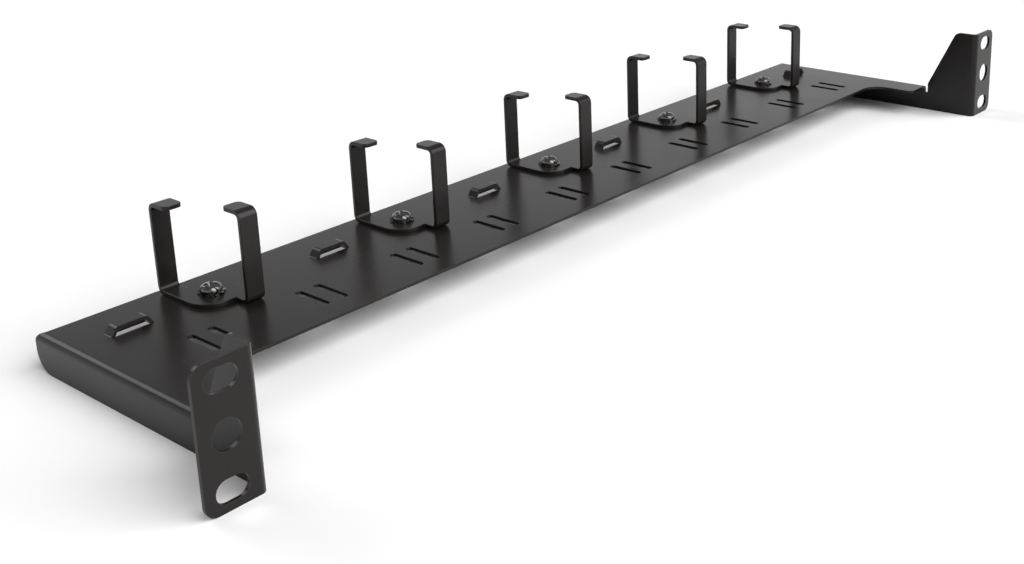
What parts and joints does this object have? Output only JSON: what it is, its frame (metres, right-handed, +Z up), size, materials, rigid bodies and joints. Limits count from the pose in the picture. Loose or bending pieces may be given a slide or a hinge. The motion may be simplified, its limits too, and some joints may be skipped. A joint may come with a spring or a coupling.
{
  "type": "horizontal cable manager",
  "caption": "Folded steel rack tray with slotted ears, tie slots, tie bridges and a row of open upright cable rings, each held by one screw.",
  "frame": {"origin": "middle of the bounding box in X and Y, on the plane of the flanges' bottom edges", "axes": "+X along the rack's width, to the right seen from the front; +Y to the back of the rack; +Z up"},
  "size_m": [0.4826, 0.1188, 0.0462],
  "materials": {
    "black_coat": "fine satin powder coat",
    "black_zinc": "black zinc",
    "zinc": "bright zinc"
  },
  "bodies": {
    "tray": {"tray": "black_coat", "lock_washer_1": "black_zinc", "lock_washer_2": "black_zinc", "lock_washer_3": "black_zinc", "lock_washer_4": "black_zinc", "lock_washer_5": "black_zinc", "screw_1": "black_zinc", "screw_2": "black_zinc", "screw_3": "black_zinc", "screw_4": "black_zinc", "screw_5": "black_zinc", "nut_1": "zinc", "nut_2": "zinc", "nut_3": "zinc", "nut_4": "zinc", "nut_5": "zinc"},
    "ring_1": {"ring_1": "black_coat"},
    "ring_2": {"ring_2": "black_coat"},
    "ring_3": {"ring_3": "black_coat"},
    "ring_4": {"ring_4": "black_coat"},
    "ring_5": {"ring_5": "black_coat"}
  },
  "joints": [
    {"name": "ring_1_turn", "type": "hinge", "parent": "tray", "child": "ring_1", "pos_m": [-0.1714, 0.0382, 0.013], "axis": [0, 0, 1], "continuous": true},
    {"name": "ring_2_turn", "type": "hinge", "parent": "tray", "child": "ring_2", "pos_m": [-0.0857, 0.0382, 0.013], "axis": [0, 0, 1], "continuous": true},
    {"name": "ring_3_turn", "type": "hinge", "parent": "tray", "child": "ring_3", "pos_m": [0, 0.0382, 0.013], "axis": [0, 0, 1], "continuous": true},
    {"name": "ring_4_turn", "type": "hinge", "parent": "tray", "child": "ring_4", "pos_m": [0.0857, 0.0382, 0.013], "axis": [0, 0, 1], "continuous": true},
    {"name": "ring_5_turn", "type": "hinge", "parent": "tray", "child": "ring_5", "pos_m": [0.1714, 0.0382, 0.013], "axis": [0, 0, 1], "continuous": true}
  ]
}
